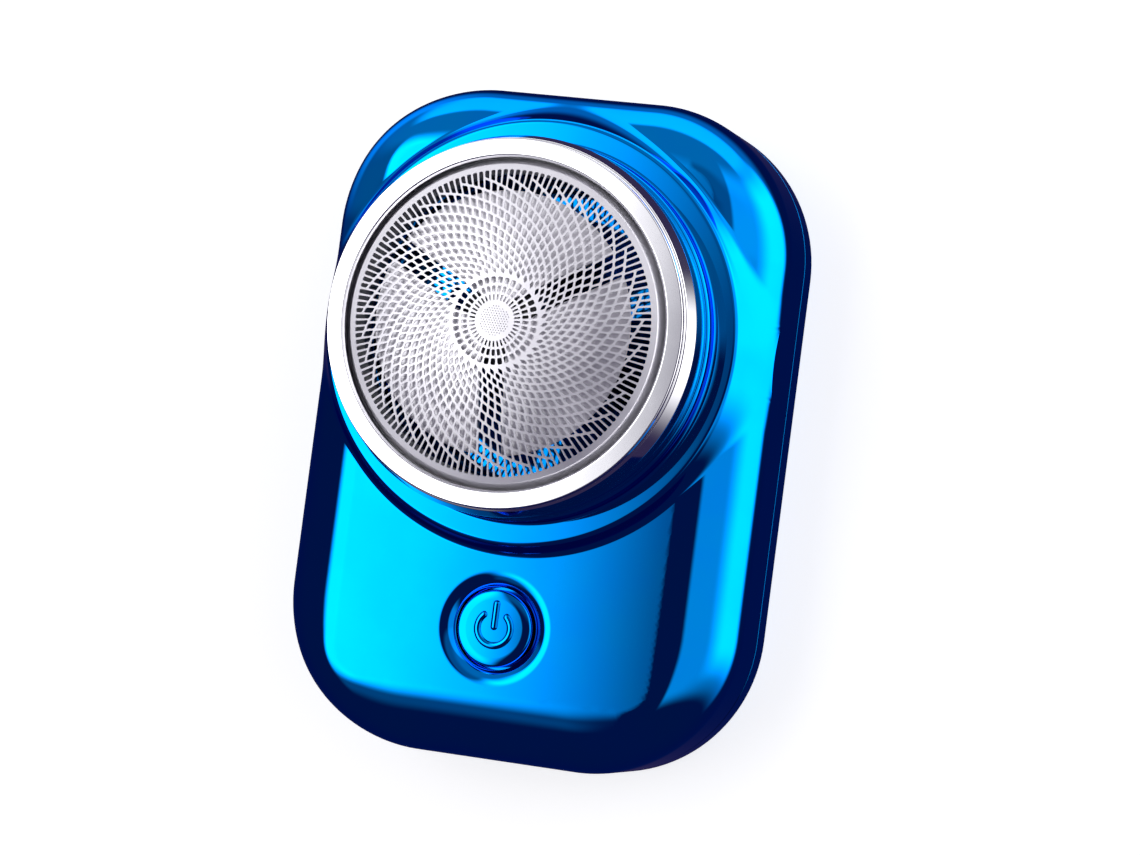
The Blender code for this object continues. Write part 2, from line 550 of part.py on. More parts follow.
# ---------------------------------------------------------------- electrics
def make_electrics():
    y0, y1 = BATTERY_Y
    pad_w, pad_top = BATTERY_W - 4, FLOOR_Z + 0.8
    box_object("battery_pad", (-pad_w / 2, y0 + 2, FLOOR_Z + GAP), (pad_w / 2, y1 - 2, pad_top),
               "foam")
    box_object("battery", (-BATTERY_W / 2, y0, pad_top + GAP),
               (BATTERY_W / 2, y1, pad_top + GAP + BATTERY_H), "battery_wrap", bevel=0.8)

    board = slab("circuit_board", 24.0, 25.0, 1.5, BOARD_Z, BOARD_Z + BOARD_T, "circuit_green",
                 at=(0, -19.0, 0), corner_steps=3)
    boolean(board, cylinders("board_holes", POST_PLACES, 8, 12, BOARD_SCREW_R + GAP))
    head_r = 2 * BOARD_SCREW_R
    for i, (x, y) in enumerate(POST_PLACES, 1):
        screw_fastener(f"board_screw_{i}", x, y, BOARD_Z - GAP - 0.6 * head_r, 14.6, BOARD_SCREW_R,
                       head_r)

    mouth, sheet, cavity_end, tongue_w, tongue_t = BODY_END + 0.25, 0.35, 6.2, 6.6, 0.7
    socket = stadium("charging_socket", SOCKET_W, SOCKET_H, mouth, mouth + SOCKET_D, SOCKET_Z,
                     "zinc_steel")
    boolean(socket, stadium("socket_cavity", SOCKET_W - 2 * sheet, SOCKET_H - 2 * sheet, mouth - 1,
                            mouth + cavity_end, SOCKET_Z))
    box_object("socket_contacts", (-tongue_w / 2, mouth + 0.7, SOCKET_Z - tongue_t / 2),
               (tongue_w / 2, mouth + cavity_end - GAP, SOCKET_Z + tongue_t / 2), "black_plastic")

    led_half_w, pipe_half_l = 0.8, 1.5
    box_object("charge_led", (LED_X - led_half_w, BODY_END + 3.6, SOCKET_Z - 0.3),
               (LED_X + led_half_w, BODY_END + 4.6, BOARD_Z - GAP), "white_plastic", bevel=0.1)
    rod_along_y("light_pipe", pipe_half_l, LIGHT_PIPE_R,
                (LED_X, BODY_END + pipe_half_l + 0.1, SOCKET_Z), "clear_plastic")


def make_leads():
    """Battery leads and motor leads, from the board's underside to the cell and the end cap."""
    board_low = BOARD_Z - 0.75
    for side, finish in ((-1, "red_wire"), (1, "black_wire")):
        colour = finish.split("_")[0]
        wire(f"battery_lead_{colour}",
             [(side * 4.0, -5.0, 4.6), (side * 5.0, -5.05, 6.5), (side * 6.5, -5.9, 8.0),
              (side * 7.6, -7.6, 8.6), (side * 8.2, -9.0, board_low)],
             LEAD_R, finish)
        wire(f"motor_lead_{colour}",
             [(side * 9.0, -1.7, 3.6), (side * 12.5, -4.4, 3.6), (side * 14.6, -7.5, 4.6),
              (side * 14.4, -11.0, 7.4), (side * 13.2, -14.0, 8.8), (side * 10.4, -15.0, board_low)],
             LEAD_R, finish)


make_front_shell()
make_rear_shell()
make_gasket()
make_seals()
for index, (screw_x, screw_y) in enumerate(SCREW_PLACES, 1):
    screw_fastener(f"rear_screw_{index}", screw_x, screw_y, 0.3, 11.4, SCREW_R, SCREW_HEAD_R)
make_motor()
make_cradle()
make_drive()
make_cutter()
make_head()
make_button()
make_electrics()
make_leads()
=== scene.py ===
"""The looks of the pocket rotary shaver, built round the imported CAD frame.

Lengths in the tables below are millimetres in the row frame; MM turns them into metres. The head,
the foil and the cutter are turned about the head's axis, and the button about its own.
"""
import json
import math

import bmesh
import bpy
import numpy as np
from mathutils import Matrix, Vector
from mathutils.geometry import delaunay_2d_cdt


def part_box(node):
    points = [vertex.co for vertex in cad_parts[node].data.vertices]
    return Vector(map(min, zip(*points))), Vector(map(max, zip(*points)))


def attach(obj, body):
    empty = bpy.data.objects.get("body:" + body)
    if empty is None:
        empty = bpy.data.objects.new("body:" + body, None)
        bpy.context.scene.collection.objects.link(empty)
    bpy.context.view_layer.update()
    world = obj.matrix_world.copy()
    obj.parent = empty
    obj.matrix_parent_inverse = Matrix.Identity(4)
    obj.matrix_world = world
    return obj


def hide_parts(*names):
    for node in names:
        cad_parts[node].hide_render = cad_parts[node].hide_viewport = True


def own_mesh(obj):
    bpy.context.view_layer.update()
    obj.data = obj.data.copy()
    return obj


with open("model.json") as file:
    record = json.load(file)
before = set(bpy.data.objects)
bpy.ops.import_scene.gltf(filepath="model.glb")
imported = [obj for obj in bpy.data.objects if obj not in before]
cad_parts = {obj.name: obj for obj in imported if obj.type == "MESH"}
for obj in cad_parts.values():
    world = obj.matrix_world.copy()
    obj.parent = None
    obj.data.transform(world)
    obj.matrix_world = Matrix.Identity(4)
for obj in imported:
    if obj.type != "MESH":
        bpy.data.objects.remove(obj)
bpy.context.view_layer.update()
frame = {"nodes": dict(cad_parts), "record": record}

MM = 0.001


def box_mm(node):
    low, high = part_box(node)
    return Vector(low) / MM, Vector(high) / MM


# ---------------------------------------------------------------- sizes read from the frame (mm)
BODY_HIGH = box_mm("rear_shell")[1]
HALF_W, HALF_L = BODY_HIGH.x, BODY_HIGH.y
RING_LOW, RING_HIGH = box_mm("head_ring")
HEAD = ((RING_LOW.x + RING_HIGH.x) / 2, (RING_LOW.y + RING_HIGH.y) / 2)
BUTTON_LOW, BUTTON_HIGH = box_mm("power_button")
BUTTON = ((BUTTON_LOW.x + BUTTON_HIGH.x) / 2, (BUTTON_LOW.y + BUTTON_HIGH.y) / 2)
FOIL_TOP_Z = box_mm("foil")[1].z
SOCKET_LOW, SOCKET_HIGH = box_mm("charging_socket")
PIPE_LOW, PIPE_HIGH = box_mm("light_pipe")
SCREW_CENTRES = [((low.x + high.x) / 2, (low.y + high.y) / 2)
                 for low, high in (box_mm(f"rear_screw_{i}") for i in range(1, 5))]

# ---------------------------------------------------------------- sizes of the surfaces (mm)
CORNER_R = 15.4
FACE_Z, FACE_EDGE, FLAT_CORNER_R = 17.5, 7.0, 3.0
SHELL_LOW_Z, REAR_TOP_Z = 4.55, 4.25
WALL = 1.6
CEILING_Z = FACE_Z - WALL
LEDGE_Z, CREST_R = 19.1, 21.5
SEAT_R, SEAT_Z = 19.0, 21.1
POCKET_R, POCKET_Z, SPINDLE_HOLE_R = 17.6, 18.0, 3.0
VALLEY = 1.5                # blend between the collar and the face
FOIL_R, FOIL_EDGE_Z = 15.4, 28.1
FOIL_RISE = FOIL_TOP_Z - FOIL_EDGE_Z
FOIL_BALL = (FOIL_R ** 2 + FOIL_RISE ** 2) / (2 * FOIL_RISE)
BALL_Z = FOIL_TOP_Z - FOIL_BALL
BUTTON_R, BUTTON_HOLE_R, BOWL_R = 3.9, 4.15, 5.9


# ---------------------------------------------------------------- shader helpers
class Tree:
    """Short names for building a node tree."""

    def __init__(self, tree):
        self.tree = tree
        tree.nodes.clear()

    def node(self, kind, inputs=None, **settings):
        made = self.tree.nodes.new(kind)
        for name, value in settings.items():
            setattr(made, name, value)
        for name, value in (inputs or {}).items():
            self.put(made.inputs[name], value)
        return made

    def put(self, socket, value):
        if isinstance(value, bpy.types.NodeSocket):
            self.tree.links.new(value, socket)
        else:
            socket.default_value = value

    def math(self, operation, *values):
        made = self.node("ShaderNodeMath", operation=operation)
        for socket, value in zip(made.inputs, values):
            self.put(socket, value)
        return made.outputs[0]

    def ramp(self, value, low, high, to_low=0.0, to_high=1.0, smooth=True):
        made = self.node("ShaderNodeMapRange",
                         {"Value": value, "From Min": low, "From Max": high,
                          "To Min": to_low, "To Max": to_high},
                         interpolation_type="SMOOTHSTEP" if smooth else "LINEAR")
        return made.outputs[0]

    def band(self, value, low, high, soft_low, soft_high=None):
        soft_high = soft_low if soft_high is None else soft_high
        rise = self.ramp(value, low - soft_low, low + soft_low)
        fall = self.ramp(value, high - soft_high, high + soft_high, 1.0, 0.0)
        return self.product(rise, fall)

    def product(self, a, b):
        return self.math("MULTIPLY", a, b)

    def noise(self, where, scale, detail=3.0, stretch=None):
        """Noise over object coordinates; scale counts features per millimetre."""
        if stretch:
            where = self.node("ShaderNodeMapping", {"Vector": where, "Scale": stretch}).outputs[0]
        return self.node("ShaderNodeTexNoise", {"Vector": where, "Scale": scale / MM,
                                                "Detail": detail}).outputs["Fac"]

    def mix(self, factor, a, b):
        made = self.node("ShaderNodeMix", {"Factor": factor}, data_type="RGBA")
        self.put(made.inputs["A"], (*a, 1.0) if isinstance(a, tuple) else a)
        self.put(made.inputs["B"], (*b, 1.0) if isinstance(b, tuple) else b)
        return made.outputs["Result"]

    def bump(self, height, depth_mm, strength=1.0, normal=None):
        inputs = {"Height": height, "Distance": depth_mm * MM, "Strength": strength}
        if normal is not None:
            inputs["Normal"] = normal
        return self.node("ShaderNodeBump", inputs).outputs[0]


def new_material(name):
    material = bpy.data.materials.new("look_" + name)
    material.use_nodes = True
    tree = Tree(material.node_tree)
    where = tree.node("ShaderNodeTexCoord").outputs["Object"]
    shader = tree.node("ShaderNodeBsdfPrincipled")
    output = tree.node("ShaderNodeOutputMaterial")
    tree.put(output.inputs["Surface"], shader.outputs[0])
    return material, tree, where, shader


def set_shader(tree, shader, **inputs):
    for name, value in inputs.items():
        tree.put(shader.inputs[name.replace("_", " ")], value)


def metal(name, colour, tone, rough, scale=0.6, brushed=None, grain=0.0, edge=(1.0, 1.0, 1.0)):
    """A metal or plated finish: cloudy tone and roughness, fine handling marks and a faint grain."""
    material, tree, where, shader = new_material(name)
    cloud = tree.noise(where, scale * 0.25, 4)
    marks = tree.noise(where, scale * 4, 6, stretch=brushed or (1.0, 0.06, 1.0))
    worn = tree.ramp(marks, 0.62, 0.80)
    low, high = rough
    roughness = tree.math("ADD", tree.ramp(cloud, 0.3, 0.7, low, high),
                          tree.product(worn, (high - low) * 0.6))
    bump = tree.bump(marks, 0.00012 + grain, 0.25)
    fine = tree.bump(tree.noise(where, 9.0, 2), 0.00005 + grain * 0.5, 0.3, bump)
    set_shader(tree, shader, Base_Color=tree.mix(tree.ramp(cloud, 0.3, 0.7), colour, tone),
               Roughness=roughness, Metallic=1.0, Normal=fine)
    shader.inputs["Specular Tint"].default_value = (*edge, 1.0)
    return material


def moulded(name, colour, tone, rough, grain=0.004, grain_scale=5.0, **fixed):
    """Moulded plastic or rubber: fine spark texture, cloudy gloss and slight colour drift."""
    material, tree, where, shader = new_material(name)
    cloud = tree.noise(where, 0.35, 4)
    texture = tree.noise(where, grain_scale, 3)
    low, high = rough
    set_shader(tree, shader, Base_Color=tree.mix(tree.ramp(cloud, 0.3, 0.7), colour, tone),
               Roughness=tree.ramp(texture, 0.25, 0.75, low, high),
               Normal=tree.bump(texture, grain, 0.8))
    for key, value in fixed.items():
        shader.inputs[key.replace("_", " ")].default_value = value
    return material


def foam(name, colour, tone):
    material, tree, where, shader = new_material(name)
    cells = tree.node("ShaderNodeTexVoronoi", {"Vector": where, "Scale": 3.2 / MM}).outputs["Distance"]
    # The sunken centres of the cells are coloured darker than their walls: painted shade in the pores.
    set_shader(tree, shader, Base_Color=tree.mix(tree.ramp(cells, 0.05, 0.6), tone, colour),
               Roughness=tree.ramp(cells, 0.0, 0.7, 0.95, 0.8), Normal=tree.bump(cells, 0.08))
    return material


def winding(name, colour, tone):
    """Enamelled copper wire wound round the armature."""
    material, tree, where, shader = new_material(name)
    wires = tree.node("ShaderNodeTexWave", {"Vector": where, "Scale": 0.55 / MM, "Distortion": 0.6},
                      bands_direction="Z").outputs["Fac"]
    cloud = tree.noise(where, 0.4, 4)
    # The grooves between the turns are coloured a darker copper: painted shade between the wires.
    set_shader(tree, shader, Base_Color=tree.mix(wires, tone, colour), Metallic=1.0,
               Roughness=tree.ramp(cloud, 0.3, 0.7, 0.22, 0.42), Normal=tree.bump(wires, 0.09))
    return material


def circuit(name, colour, tone, track):
    """Solder mask over copper tracks."""
    material, tree, where, shader = new_material(name)
    cells = tree.node("ShaderNodeTexVoronoi", {"Vector": where, "Scale": 0.42 / MM},
                      distance="CHEBYCHEV", feature="F1").outputs["Distance"]
    lines = tree.band(cells, 0.42, 0.55, 0.02)
    mask = tree.noise(where, 0.8, 4)
    base = tree.mix(lines, tree.mix(tree.ramp(mask, 0.3, 0.7), colour, tone), track)
    set_shader(tree, shader, Base_Color=base, Roughness=tree.ramp(mask, 0.3, 0.7, 0.24, 0.4),
               Normal=tree.bump(lines, 0.03))
    return material


def wrapped_cell(name, colour, tone):
    """The crinkled foil pouch of the cell."""
    material, tree, where, shader = new_material(name)
    folds = tree.noise(where, 0.22, 5, stretch=(1.0, 0.4, 1.0))
    fine = tree.noise(where, 1.6, 4)
    bump = tree.bump(fine, 0.03, 0.4, tree.bump(folds, 0.25, 0.6))
    # The colour follows the height of the folds, lighter on the raised folds and darker in the creases:
    # painted light and shade on the crinkles.
    set_shader(tree, shader, Base_Color=tree.mix(tree.ramp(folds, 0.35, 0.65), colour, tone),
               Metallic=0.65, Roughness=tree.ramp(fine, 0.3, 0.7, 0.28, 0.46), Normal=bump)
    return material


def make_looks():
    """One material for each slot of the record."""
    looks = {
        "plated_blue": metal("plated_blue", (0.0, 0.215, 0.72), (0.0, 0.23, 0.69), (0.012, 0.03),
                             edge=(0.25, 0.5, 1.0)),
        "chrome": metal("chrome", (0.80, 0.80, 0.82), (0.84, 0.84, 0.86), (0.03, 0.07)),
        "foil_steel": metal("foil_steel", (0.88, 0.87, 0.90), (0.93, 0.92, 0.95), (0.42, 0.52),
                            grain=0.001),
        "cutter_steel": metal("cutter_steel", (0.74, 0.73, 0.76), (0.82, 0.81, 0.84), (0.40, 0.50),
                              brushed=(0.1, 1.0, 1.0), grain=0.002),
        "zinc_steel": metal("zinc_steel", (0.60, 0.60, 0.58), (0.70, 0.69, 0.66), (0.22, 0.38),
                            grain=0.002),
        "spring_steel": metal("spring_steel", (0.66, 0.66, 0.68), (0.74, 0.74, 0.75), (0.18, 0.30)),
        "magnet": moulded("magnet", (0.09, 0.09, 0.10), (0.13, 0.12, 0.12), (0.5, 0.7)),
        "black_plastic": moulded("black_plastic", (0.018, 0.018, 0.021), (0.028, 0.028, 0.031),
                                 (0.34, 0.50)),
        "grey_plastic": moulded("grey_plastic", (0.30, 0.31, 0.33), (0.35, 0.36, 0.38), (0.40, 0.56)),
        "white_plastic": moulded("white_plastic", (0.78, 0.78, 0.75), (0.84, 0.84, 0.82),
                                 (0.34, 0.48), Subsurface_Weight=0.08, Subsurface_Scale=0.4 * MM),
        "clear_plastic": moulded("clear_plastic", (0.86, 0.92, 0.96), (0.90, 0.95, 0.98),
                                 (0.06, 0.14), grain=0.0008, Transmission_Weight=0.85, IOR=1.49),
        "rubber": moulded("rubber", (0.022, 0.022, 0.024), (0.035, 0.035, 0.038), (0.62, 0.80),
                          grain=0.008, grain_scale=3.0),
        "red_wire": moulded("red_wire", (0.48, 0.012, 0.012), (0.58, 0.03, 0.02), (0.34, 0.48)),
        "black_wire": moulded("black_wire", (0.012, 0.012, 0.013), (0.022, 0.022, 0.024),
                              (0.34, 0.48)),
        "foam": foam("foam", (0.16, 0.16, 0.17), (0.05, 0.05, 0.055)),
        "copper": winding("copper", (0.78, 0.36, 0.15), (0.45, 0.16, 0.06)),
        "circuit_green": circuit("circuit_green", (0.012, 0.16, 0.06), (0.018, 0.20, 0.08),
                                 (0.06, 0.34, 0.14)),
        "battery_wrap": wrapped_cell("battery_wrap", (0.66, 0.68, 0.70), (0.76, 0.78, 0.80)),
    }
    return looks


LOOKS = make_looks()


# ---------------------------------------------------------------- mesh helpers
def add_piece(name, mesh, slot_name, body, nodes=(), at=(0.0, 0.0), sharp=32):
    """Links a finished mesh (mm, about the place `at`) as a piece of the object."""
    mesh.transform(Matrix.Translation((at[0] * MM, at[1] * MM, 0)) @ Matrix.Scale(MM, 4))
    mesh.shade_smooth()
    mesh.set_sharp_from_angle(angle=math.radians(sharp))
    mesh.materials.append(LOOKS[slot_name])
    piece = bpy.data.objects.new(name, mesh)
    bpy.context.scene.collection.objects.link(piece)
    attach(piece, body)
    if nodes:
        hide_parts(*nodes)
    return piece


def bmesh_to_mesh(name, bm, fix_normals=True):
    if fix_normals:
        bmesh.ops.recalc_face_normals(bm, faces=bm.faces)
    mesh = bpy.data.meshes.new(name)
    bm.to_mesh(mesh)
    bm.free()
    return mesh


def arc(centre_r, centre_z, radius, start, end, steps):
    """Points on an arc, from start to end degrees."""
    angles = (math.radians(start + (end - start) * i / steps) for i in range(steps + 1))
    return [(centre_r + radius * math.cos(a), centre_z + radius * math.sin(a)) for a in angles]


def rounded(points, steps=6, support=0.05):
    """A closed profile from (r, z, fillet) corners. Short straights beside each fillet keep the
    flats flat when they are shaded smooth."""
    profile = []
    count = len(points)
    for i, (r, z, fillet) in enumerate(points):
        here = Vector((r, z))
        if fillet <= 0:
            profile.append((r, z))
            continue
        back = Vector(points[i - 1][:2]) - here
        ahead = Vector(points[(i + 1) % count][:2]) - here
        half = back.angle(ahead) / 2
        reach = min(fillet / math.tan(half), 0.48 * back.length, 0.48 * ahead.length)
        start, end = here + back.normalized() * reach, here + ahead.normalized() * reach
        centre = here + (back.normalized() + ahead.normalized()).normalized() * reach / math.cos(half)
        first, last = start - centre, end - centre
        if reach + support < 0.49 * back.length:
            profile.append(tuple(start + back.normalized() * support))
        turn = first.angle_signed(last)
        for k in range(steps + 1):
            spoke = first.copy()
            spoke.rotate(Matrix.Rotation(-turn * k / steps, 2))
            profile.append(tuple(centre + spoke))
        if reach + support < 0.49 * ahead.length:
            profile.append(tuple(end + ahead.normalized() * support))
    return profile


def grid_bmesh(points, close_rows=True, close_columns=True):
    """Quads over an array of rows of points. A row is one section; its neighbour is the next."""
    bm = bmesh.new()
    rows = [[bm.verts.new(p) for p in row] for row in points]
    count, width = len(rows), len(rows[0])
    for i in range(count if close_rows else count - 1):
        a, b = rows[i], rows[(i + 1) % count]
        for j in range(width if close_columns else width - 1):
            k = (j + 1) % width
            bm.faces.new((a[j], a[k], b[k], b[j]))
    return bm


def turned_bmesh(profile, steps=192, closed=True):
    """A solid of revolution. An open profile starts and ends on the axis."""
    sections = []
    for i in range(steps):
        angle = 2 * math.pi * i / steps
        c, s = math.cos(angle), math.sin(angle)
        sections.append([(r * c, r * s, z) for r, z in profile])
    bm = grid_bmesh(sections, close_columns=closed)
    bmesh.ops.remove_doubles(bm, verts=bm.verts, dist=1e-5)
    return bm


def turned(name, profile, slot_name, body, nodes=(), at=HEAD, steps=192, closed=True, sharp=32):
    mesh = bmesh_to_mesh(name, turned_bmesh(profile, steps, closed))
    return add_piece(name, mesh, slot_name, body, nodes, at, sharp)


def circle(radius, z, steps, at=(0.0, 0.0)):
    angles = (2 * math.pi * i / steps for i in range(steps))
    return [(at[0] + radius * math.cos(a), at[1] + radius * math.sin(a), z) for a in angles]


def loft(bm, loops, first=None):
    """Quads between neighbouring closed loops of new vertices, after an existing first loop."""
    made = ([first] if first else []) + [[bm.verts.new(p) for p in loop] for loop in loops]
    for a, b in zip(made, made[1:]):
        for i in range(len(a)):
            k = (i + 1) % len(a)
            bm.faces.new((a[i], a[k], b[k], b[i]))
    return made


def fill_flat(bm, outlines, holes, axes=(0, 1)):
    """Triangles inside the outlines and outside the holes: loops of vertices in one flat plane."""
    points, faces, verts = [], [], []
    for ring in outlines + holes:
        flat = [Vector((v.co[axes[0]], v.co[axes[1]])) for v in ring]
        turn = sum(a.cross(b) for a, b in zip(flat, flat[1:] + flat[:1]))
        step = 1 if turn > 0 else -1
        faces.append(list(range(len(points), len(points) + len(flat))))
        points += flat[::step]
        verts += ring[::step]
    found = delaunay_2d_cdt(points, [], faces, 1, 1e-7)
    source = [verts[olds[0]] for olds in found[3]]
    for corners, owners in zip(found[2], found[5]):
        if owners and max(owners) < len(outlines):
            bm.faces.new([source[i] for i in corners])


def edge_rings(edges):
    """The closed loops of vertices that a set of edges makes."""
    links = {}
    for edge in edges:
        a, b = edge.verts
        links.setdefault(a, []).append(b)
        links.setdefault(b, []).append(a)
    rings, seen = [], set()
    for first in links:
        if first in seen:
            continue
        ring, last, here = [first], None, first
        while True:
            ahead = [v for v in links[here] if v is not last]
            last, here = here, ahead[0]
            if here is first:
                break
            ring.append(here)
        seen.update(ring)
        rings.append(ring)
    return rings


def refill(bm, doomed, loops, axes=(0, 1)):
    """Takes out the doomed faces and fills the opening between its edge and the given loops."""
    edged = set(e for e in bm.edges if e.is_boundary)
    bmesh.ops.delete(bm, geom=[f for f in bm.faces if doomed(f)], context="FACES")
    edges = [e for e in bm.edges if e.is_boundary and e not in edged]
    fill_flat(bm, edge_rings(edges), loops, axes)


# ---------------------------------------------------------------- the body's shells
def outline_inset(x, y):
    """How far a point lies inside the body's outline; arrays of mm."""
    qx = np.abs(x) - (HALF_W - CORNER_R)
    qy = np.abs(y) - (HALF_L - CORNER_R)
    outside = np.hypot(np.maximum(qx, 0), np.maximum(qy, 0))
    return CORNER_R - outside - np.minimum(np.maximum(qx, qy), 0)


def reach_along(angle, start, inside):
    """Distance from a point on the Y axis to where `inside` ends, along a direction in the plan."""
    low, high = 0.0, 2 * HALF_L
    for _ in range(48):
        middle = (low + high) / 2
        if inside(middle * math.cos(angle), start + middle * math.sin(angle)):
            low = middle
        else:
            high = middle
    return low


def outline_reach(angle, start, inset=0.0):
    """Distance from a point on the Y axis to the body's outline, or to a line inset from it."""
    return reach_along(angle, start, lambda x, y: outline_inset(x, y) > inset)


def past_flat(x, y):
    """How far a point lies outside the face's flat, whose corners are tighter than the outline's."""
    qx = np.abs(x) - (HALF_W - FACE_EDGE - FLAT_CORNER_R)
    qy = np.abs(y) - (HALF_L - FACE_EDGE - FLAT_CORNER_R)
    return np.hypot(np.maximum(qx, 0), np.maximum(qy, 0)) - FLAT_CORNER_R


def slab_height(x, y):
    """The face with its quarter-round edge, which closes up at the corners."""
    inset, past = np.maximum(outline_inset(x, y), 0), np.maximum(past_flat(x, y), 0)
    into = FACE_EDGE * np.minimum(past / np.maximum(past + inset, 1e-6), 1.0)
    return FACE_Z - FACE_EDGE + np.sqrt(FACE_EDGE ** 2 - into ** 2)


def collar_height(radius):
    """The collar outside its crest: a short round, then a steep flank."""
    crest, flank = 0.55, 2.6
    past = np.maximum(radius - CREST_R + crest, 0)
    turn = np.minimum(past, crest * 0.932)
    return LEDGE_Z - crest + np.sqrt(crest ** 2 - turn ** 2) - flank * np.maximum(past - turn, 0)


def face_height(x, y):
    """The collar and the face, run together by a hollow blend."""
    face, collar = slab_height(x, y), collar_height(np.hypot(x - HEAD[0], y - HEAD[1]))
    overlap = np.clip(VALLEY - np.abs(face - collar), 0, VALLEY) / VALLEY
    return np.maximum(face, collar) + overlap ** 2 * VALLEY / 4


def outer_section(angle, samples=150, fine=1200):
    """The outer surface along one direction from the head's axis: (distance, height) points,
    closer together where the surface curves."""
    start, reach = CREST_R - 0.75, outline_reach(angle, HEAD[1])
    t = np.linspace(0, math.pi / 2, fine)
    distance = start + (reach - start) * np.sin(t)
    height = face_height(distance * math.cos(angle), HEAD[1] + distance * math.sin(angle))
    dx, dz = np.diff(distance), np.diff(height)
    length = np.hypot(dx, dz)
    slope = np.unwrap(np.arctan2(dz, dx))
    bend = np.abs(np.diff(slope, prepend=slope[0]))
    weight = np.convolve(bend, np.ones(15) / 15, mode="same") * 2.2 + length * 0.16
    total = np.concatenate([[0], np.cumsum(weight)])
    distance = np.interp(np.linspace(0, total[-1], samples), total, distance)
    flat_end = reach_along(angle, HEAD[1], lambda x, y: past_flat(x, y) < 0)
    if flat_end > start + 0.5:
        distance[np.argmin(np.abs(distance - flat_end))] = flat_end
    height = face_height(distance * math.cos(angle), HEAD[1] + distance * math.sin(angle))
    return list(zip(distance, height))


def front_section(angle):
    """The closed section of the front shell along one direction from the head's axis."""
    seat = rounded([(SPINDLE_HOLE_R, CEILING_Z, 0), (SPINDLE_HOLE_R, POCKET_Z, 0.2),
                    (POCKET_R, POCKET_Z, 0.25), (POCKET_R, SEAT_Z, 0.25), (SEAT_R, SEAT_Z, 0.35),
                    (SEAT_R, LEDGE_Z, 0.3), (CREST_R - 1.0, LEDGE_Z, 0)], steps=5)
    outer = outer_section(angle)
    reach, edge_z = outer[-1]
    lip = 0.02
    wall = [(reach, edge_z + (SHELL_LOW_Z + lip - edge_z) * i / 8) for i in range(1, 9)]
    wall += [(reach - lip, SHELL_LOW_Z)]
    inner_reach = outline_reach(angle, HEAD[1], WALL)
    inner_edge = FACE_EDGE - WALL
    inner = [(inner_reach, SHELL_LOW_Z), (inner_reach, 6.2), (inner_reach, 8.4)]
    inner += arc(inner_reach - inner_edge, CEILING_Z - inner_edge, inner_edge, 0, 90, 6)
    fill = inner_reach - inner_edge
    inner += [(fill + (SPINDLE_HOLE_R + 1.0 - fill) * i / 14, CEILING_Z) for i in range(1, 15)]
    section = seat + outer + wall + inner
    return [(HEAD[0] + r * math.cos(angle), HEAD[1] + r * math.sin(angle), z) for r, z in section]


def xz_loop(half_w, half_h, centre, y, steps=12):
    """A bar with round ends in an XZ plane, or a circle where both halves are equal."""
    straight = half_w - half_h
    points = []
    for side, start in ((1, -90), (-1, 90)):
        for i in range(steps + (straight > 1e-6)):
            angle = math.radians(start + 180 * i / steps)
            points.append((centre[0] + side * straight + half_h * math.cos(angle), y,
                           centre[1] + half_h * math.sin(angle)))
    return points


def new_loops(bm, loops):
    return [[bm.verts.new(p) for p in loop] for loop in loops]


def cut_button_bowl(bm, steps=128):
    """The soft bowl round the button and its hole, run through to the ceiling."""
    depth, width, support = 0.55, BOWL_R - BUTTON_HOLE_R - 0.12, 0.05
    cleared = BOWL_R + 0.12

    def doomed(low, high):
        def test(face):
            near = any(math.hypot(v.co.x - BUTTON[0], v.co.y - BUTTON[1]) < cleared
                       for v in face.verts)
            return near and low < face.calc_center_median().z < high
        return test

    rim = new_loops(bm, [circle(BOWL_R + support, FACE_Z, steps, BUTTON)])[0]
    refill(bm, doomed(FACE_Z - 0.5, FACE_Z + 0.5), [rim])
    loops = []
    for i in range(25):
        t = i / 24
        loops.append(circle(BOWL_R - width * t, FACE_Z - depth * t ** 2.4, steps, BUTTON))
    loops.append(circle(BUTTON_HOLE_R + 0.04, FACE_Z - depth - 0.03, steps, BUTTON))
    loops.append(circle(BUTTON_HOLE_R, FACE_Z - depth - 0.12, steps, BUTTON))
    loops.append(circle(BUTTON_HOLE_R, CEILING_Z, steps, BUTTON))
    last = loft(bm, loops, rim)[-1]
    refill(bm, doomed(CEILING_Z - 0.3, CEILING_Z + 0.3), [last])


